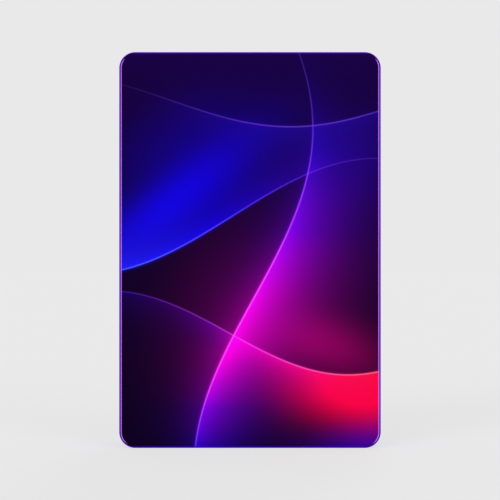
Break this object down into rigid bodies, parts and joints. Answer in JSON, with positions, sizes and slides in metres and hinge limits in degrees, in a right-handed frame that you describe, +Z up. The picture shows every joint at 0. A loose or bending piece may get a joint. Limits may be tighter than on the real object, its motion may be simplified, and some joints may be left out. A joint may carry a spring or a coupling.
{
  "type": "fabric display wall",
  "caption": "Free-standing rounded box wall: a zipped stretch-fabric cover over a push-together tube frame with snap clips.",
  "frame": {"origin": "on the floor, under the middle of the wall", "axes": "+X along the width, towards the viewer's right when facing the printed front; -Y is the printed front; +Y the zipped back; +Z up"},
  "size_m": [1.5, 0.3056, 2.27],
  "materials": {
    "printed_fabric": "matt knitted polyester, printed all over in dark indigo with magenta and blue glows",
    "edge_fabric": "matt knitted polyester, dyed plain violet",
    "back_fabric": "matt knitted polyester, plain dark violet",
    "zip_cloth": "woven tape with a nylon coil, black",
    "zip_metal": "gunmetal plating",
    "aluminium_tube": "drawn tube, satin anodised",
    "spring_steel": "rolled spring strip with a turned pin"
  },
  "bodies": {
    "wall": {"front_panel": "printed_fabric", "back_panel": "back_fabric", "gusset_top": "edge_fabric", "gusset_bottom": "edge_fabric", "gusset_left": "edge_fabric", "gusset_right": "edge_fabric", "zip_tape_upper": "zip_cloth", "zip_tape_lower": "zip_cloth", "zip_stop_left": "zip_metal", "zip_stop_right": "zip_metal", "corner_tube_front_top_left": "aluminium_tube", "corner_tube_front_top_right": "aluminium_tube", "corner_tube_front_bottom_left": "aluminium_tube", "corner_tube_front_bottom_right": "aluminium_tube", "corner_tube_back_top_left": "aluminium_tube", "corner_tube_back_top_right": "aluminium_tube", "corner_tube_back_bottom_left": "aluminium_tube", "corner_tube_back_bottom_right": "aluminium_tube", "post_front_left": "aluminium_tube", "post_front_right": "aluminium_tube", "post_back_left": "aluminium_tube", "post_back_right": "aluminium_tube", "crossbar_front_left": "aluminium_tube", "crossbar_front_right": "aluminium_tube", "crossbar_back_left": "aluminium_tube", "crossbar_back_right": "aluminium_tube", "spreader_top_left": "aluminium_tube", "spreader_top_right": "aluminium_tube", "spreader_mid_left": "aluminium_tube", "spreader_mid_right": "aluminium_tube", "spreader_bottom_left": "aluminium_tube", "spreader_bottom_right": "aluminium_tube"},
    "zip_slider": {"zip_slider": "zip_metal"},
    "zip_pull": {"zip_pull": "zip_metal"},
    "snap_clip_front_top": {"snap_clip_front_top": "spring_steel"},
    "snap_clip_front_bottom": {"snap_clip_front_bottom": "spring_steel"},
    "snap_clip_front_left_upper": {"snap_clip_front_left_upper": "spring_steel"},
    "snap_clip_front_left_lower": {"snap_clip_front_left_lower": "spring_steel"},
    "snap_clip_front_right_upper": {"snap_clip_front_right_upper": "spring_steel"},
    "snap_clip_front_right_lower": {"snap_clip_front_right_lower": "spring_steel"},
    "snap_clip_front_crossbar": {"snap_clip_front_crossbar": "spring_steel"},
    "snap_clip_back_top": {"snap_clip_back_top": "spring_steel"},
    "snap_clip_back_bottom": {"snap_clip_back_bottom": "spring_steel"},
    "snap_clip_back_left_upper": {"snap_clip_back_left_upper": "spring_steel"},
    "snap_clip_back_left_lower": {"snap_clip_back_left_lower": "spring_steel"},
    "snap_clip_back_right_upper": {"snap_clip_back_right_upper": "spring_steel"},
    "snap_clip_back_right_lower": {"snap_clip_back_right_lower": "spring_steel"},
    "snap_clip_back_crossbar": {"snap_clip_back_crossbar": "spring_steel"}
  },
  "joints": [
    {"name": "zip_slide", "type": "slide", "parent": "wall", "child": "zip_slider", "axis": [-1, 0, 0], "range_m": [0, 1.24]},
    {"name": "zip_pull_swing", "type": "hinge", "parent": "zip_slider", "child": "zip_pull", "pos_m": [0.62, 0.1535, 0.0597], "axis": [0, 0, -1], "range_deg": [0, 180]},
    {"name": "press_front_top", "type": "slide", "parent": "wall", "child": "snap_clip_front_top", "axis": [0, -1, 0], "range_m": [0, 0.005], "stiffness_N_per_m": 1500, "springref_m": -0.002},
    {"name": "press_front_bottom", "type": "slide", "parent": "wall", "child": "snap_clip_front_bottom", "axis": [0, -1, 0], "range_m": [0, 0.005], "stiffness_N_per_m": 1500, "springref_m": -0.002},
    {"name": "press_front_left_upper", "type": "slide", "parent": "wall", "child": "snap_clip_front_left_upper", "axis": [0, -1, 0], "range_m": [0, 0.005], "stiffness_N_per_m": 1500, "springref_m": -0.002},
    {"name": "press_front_left_lower", "type": "slide", "parent": "wall", "child": "snap_clip_front_left_lower", "axis": [0, -1, 0], "range_m": [0, 0.005], "stiffness_N_per_m": 1500, "springref_m": -0.002},
    {"name": "press_front_right_upper", "type": "slide", "parent": "wall", "child": "snap_clip_front_right_upper", "axis": [0, -1, 0], "range_m": [0, 0.005], "stiffness_N_per_m": 1500, "springref_m": -0.002},
    {"name": "press_front_right_lower", "type": "slide", "parent": "wall", "child": "snap_clip_front_right_lower", "axis": [0, -1, 0], "range_m": [0, 0.005], "stiffness_N_per_m": 1500, "springref_m": -0.002},
    {"name": "press_front_crossbar", "type": "slide", "parent": "wall", "child": "snap_clip_front_crossbar", "axis": [0, -1, 0], "range_m": [0, 0.005], "stiffness_N_per_m": 1500, "springref_m": -0.002},
    {"name": "press_back_top", "type": "slide", "parent": "wall", "child": "snap_clip_back_top", "axis": [0, 1, 0], "range_m": [0, 0.005], "stiffness_N_per_m": 1500, "springref_m": -0.002},
    {"name": "press_back_bottom", "type": "slide", "parent": "wall", "child": "snap_clip_back_bottom", "axis": [0, 1, 0], "range_m": [0, 0.005], "stiffness_N_per_m": 1500, "springref_m": -0.002},
    {"name": "press_back_left_upper", "type": "slide", "parent": "wall", "child": "snap_clip_back_left_upper", "axis": [0, 1, 0], "range_m": [0, 0.005], "stiffness_N_per_m": 1500, "springref_m": -0.002},
    {"name": "press_back_left_lower", "type": "slide", "parent": "wall", "child": "snap_clip_back_left_lower", "axis": [0, 1, 0], "range_m": [0, 0.005], "stiffness_N_per_m": 1500, "springref_m": -0.002},
    {"name": "press_back_right_upper", "type": "slide", "parent": "wall", "child": "snap_clip_back_right_upper", "axis": [0, 1, 0], "range_m": [0, 0.005], "stiffness_N_per_m": 1500, "springref_m": -0.002},
    {"name": "press_back_right_lower", "type": "slide", "parent": "wall", "child": "snap_clip_back_right_lower", "axis": [0, 1, 0], "range_m": [0, 0.005], "stiffness_N_per_m": 1500, "springref_m": -0.002},
    {"name": "press_back_crossbar", "type": "slide", "parent": "wall", "child": "snap_clip_back_crossbar", "axis": [0, 1, 0], "range_m": [0, 0.005], "stiffness_N_per_m": 1500, "springref_m": -0.002}
  ]
}
